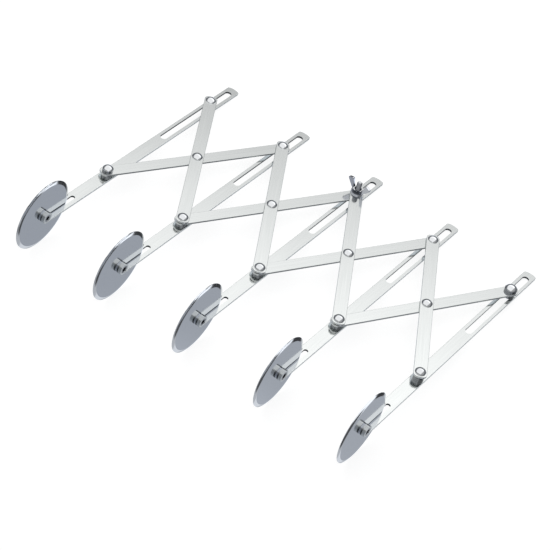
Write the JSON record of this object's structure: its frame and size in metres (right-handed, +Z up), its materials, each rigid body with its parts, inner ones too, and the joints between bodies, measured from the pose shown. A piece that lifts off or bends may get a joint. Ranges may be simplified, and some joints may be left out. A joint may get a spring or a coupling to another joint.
{
  "type": "pastry cutter wheel",
  "caption": "Expanding pastry cutter: a row of free-turning disc wheels on slotted steel arms, spread and drawn in by a riveted scissor linkage with a wing-nut lock.",
  "frame": {"origin": "middle of the footprint at floor level, the cutter standing on its wheels and the rear tips of its arms", "axes": "+X along the row of wheels and its axles, -Y towards the wheels, +Z up"},
  "size_m": [0.2854, 0.2594, 0.055],
  "materials": {
    "bar_steel": "satin rolled stainless steel",
    "wheel_steel": "mirror polished stainless steel",
    "rivet_steel": "polished steel",
    "spacer_steel": "turned steel",
    "lock_steel": "plated steel"
  },
  "bodies": {
    "arm_1": {"arm_1": "bar_steel", "axle_1": "spacer_steel", "front_rivet_1": "rivet_steel", "front_spacer_1": "spacer_steel", "front_top_spacer": "spacer_steel"},
    "arm_2": {"arm_2": "bar_steel", "axle_2": "spacer_steel", "front_rivet_2": "rivet_steel", "front_spacer_2": "spacer_steel", "front_washer_2": "spacer_steel"},
    "arm_3": {"arm_3": "bar_steel", "axle_3": "spacer_steel", "front_rivet_3": "rivet_steel", "front_spacer_3": "spacer_steel", "front_washer_3": "spacer_steel"},
    "arm_4": {"arm_4": "bar_steel", "axle_4": "spacer_steel", "front_rivet_4": "rivet_steel", "front_spacer_4": "spacer_steel", "front_washer_4": "spacer_steel"},
    "arm_5": {"arm_5": "bar_steel", "axle_5": "spacer_steel", "front_rivet_5": "rivet_steel", "front_spacer_5": "spacer_steel"},
    "upper_link_1": {"upper_link_1": "bar_steel", "rear_bush_1": "spacer_steel", "rear_rivet_1": "rivet_steel"},
    "lower_link_1": {"lower_link_1": "bar_steel", "cross_rivet_1": "rivet_steel", "cross_washer_1": "spacer_steel"},
    "upper_link_2": {"upper_link_2": "bar_steel", "rear_bush_2": "spacer_steel", "rear_rivet_2": "rivet_steel", "rear_washer_2": "spacer_steel"},
    "lower_link_2": {"lower_link_2": "bar_steel", "cross_rivet_2": "rivet_steel", "cross_washer_2": "spacer_steel"},
    "upper_link_3": {"upper_link_3": "bar_steel", "rear_bush_3": "spacer_steel", "rear_washer_3": "spacer_steel", "lock_bolt": "lock_steel"},
    "lower_link_3": {"lower_link_3": "bar_steel", "cross_rivet_3": "rivet_steel", "cross_washer_3": "spacer_steel"},
    "upper_link_4": {"upper_link_4": "bar_steel", "rear_bush_4": "spacer_steel", "rear_rivet_4": "rivet_steel", "rear_washer_4": "spacer_steel"},
    "lower_link_4": {"lower_link_4": "bar_steel", "cross_rivet_4": "rivet_steel", "cross_washer_4": "spacer_steel", "rear_rivet_5": "rivet_steel", "rear_bush_5": "spacer_steel", "rear_top_spacer": "spacer_steel"},
    "wheel_1": {"wheel_1": "wheel_steel"},
    "wheel_2": {"wheel_2": "wheel_steel"},
    "wheel_3": {"wheel_3": "wheel_steel"},
    "wheel_4": {"wheel_4": "wheel_steel"},
    "wheel_5": {"wheel_5": "wheel_steel"},
    "wing_nut": {"wing_nut": "lock_steel"}
  },
  "joints": [
    {"name": "spread", "type": "hinge", "parent": "arm_3", "child": "lower_link_3", "pos_m": [0, -0.02928, 0.01933], "axis": [0, -0.0991, -0.9951], "range_deg": [-23.6, 32.5]},
    {"name": "upper_link_2_turn", "type": "hinge", "parent": "arm_3", "child": "upper_link_2", "pos_m": [0, -0.02928, 0.01933], "axis": [0, 0.0991, 0.9951], "range_deg": [-23.6, 32.5]},
    {"name": "cross_3", "type": "hinge", "parent": "lower_link_3", "child": "upper_link_3", "pos_m": [0.0343, 0.03371, 0.01306], "axis": [0, 0.0991, 0.9951], "range_deg": [-47.2, 65]},
    {"name": "cross_2", "type": "hinge", "parent": "upper_link_2", "child": "lower_link_2", "pos_m": [-0.0343, 0.03371, 0.01306], "axis": [0, -0.0991, -0.9951], "range_deg": [-47.2, 65]},
    {"name": "arm_4_turn", "type": "hinge", "parent": "upper_link_3", "child": "arm_4", "pos_m": [0.0686, -0.02928, 0.01933], "axis": [0, -0.0991, -0.9951], "range_deg": [-23.6, 32.5]},
    {"name": "arm_2_turn", "type": "hinge", "parent": "lower_link_2", "child": "arm_2", "pos_m": [-0.0686, -0.02928, 0.01933], "axis": [0, 0.0991, 0.9951], "range_deg": [-23.6, 32.5]},
    {"name": "lower_link_4_turn", "type": "hinge", "parent": "arm_4", "child": "lower_link_4", "pos_m": [0.0686, -0.02928, 0.01933], "axis": [0, -0.0991, -0.9951], "range_deg": [-23.6, 32.5]},
    {"name": "cross_4", "type": "hinge", "parent": "lower_link_4", "child": "upper_link_4", "pos_m": [0.1029, 0.03371, 0.01306], "axis": [0, 0.0991, 0.9951], "range_deg": [-47.2, 65]},
    {"name": "arm_5_turn", "type": "hinge", "parent": "upper_link_4", "child": "arm_5", "pos_m": [0.1372, -0.02928, 0.01933], "axis": [0, -0.0991, -0.9951], "range_deg": [-23.6, 32.5]},
    {"name": "upper_link_1_turn", "type": "hinge", "parent": "arm_2", "child": "upper_link_1", "pos_m": [-0.0686, -0.02928, 0.01933], "axis": [0, 0.0991, 0.9951], "range_deg": [-23.6, 32.5]},
    {"name": "cross_1", "type": "hinge", "parent": "upper_link_1", "child": "lower_link_1", "pos_m": [-0.1029, 0.03371, 0.01306], "axis": [0, -0.0991, -0.9951], "range_deg": [-47.2, 65]},
    {"name": "arm_1_turn", "type": "hinge", "parent": "lower_link_1", "child": "arm_1", "pos_m": [-0.1372, -0.02928, 0.01933], "axis": [0, 0.0991, 0.9951], "range_deg": [-23.6, 32.5]},
    {"name": "wheel_1_spin", "type": "hinge", "parent": "arm_1", "child": "wheel_1", "pos_m": [-0.1372, -0.10223, 0.0275], "axis": [1, 0, 0], "continuous": true},
    {"name": "wheel_2_spin", "type": "hinge", "parent": "arm_2", "child": "wheel_2", "pos_m": [-0.0686, -0.10223, 0.0275], "axis": [1, 0, 0], "continuous": true},
    {"name": "wheel_3_spin", "type": "hinge", "parent": "arm_3", "child": "wheel_3", "pos_m": [0, -0.10223, 0.0275], "axis": [1, 0, 0], "continuous": true},
    {"name": "wheel_4_spin", "type": "hinge", "parent": "arm_4", "child": "wheel_4", "pos_m": [0.0686, -0.10223, 0.0275], "axis": [1, 0, 0], "continuous": true},
    {"name": "wheel_5_spin", "type": "hinge", "parent": "arm_5", "child": "wheel_5", "pos_m": [0.1372, -0.10223, 0.0275], "axis": [1, 0, 0], "continuous": true},
    {"name": "wing_nut_turn", "type": "hinge", "parent": "upper_link_3", "child": "wing_nut", "pos_m": [0, 0.0973, 0.01276], "axis": [0, 0.0991, 0.9951], "continuous": true}
  ],
  "couplings": [
    {"joint": "upper_link_2_turn", "follows": "spread", "ratio": 1},
    {"joint": "cross_3", "follows": "spread", "ratio": 2},
    {"joint": "cross_2", "follows": "spread", "ratio": 2},
    {"joint": "arm_4_turn", "follows": "spread", "ratio": 1},
    {"joint": "arm_2_turn", "follows": "spread", "ratio": 1},
    {"joint": "lower_link_4_turn", "follows": "spread", "ratio": 1},
    {"joint": "cross_4", "follows": "spread", "ratio": 2},
    {"joint": "arm_5_turn", "follows": "spread", "ratio": 1},
    {"joint": "upper_link_1_turn", "follows": "spread", "ratio": 1},
    {"joint": "cross_1", "follows": "spread", "ratio": 2},
    {"joint": "arm_1_turn", "follows": "spread", "ratio": 1}
  ]
}
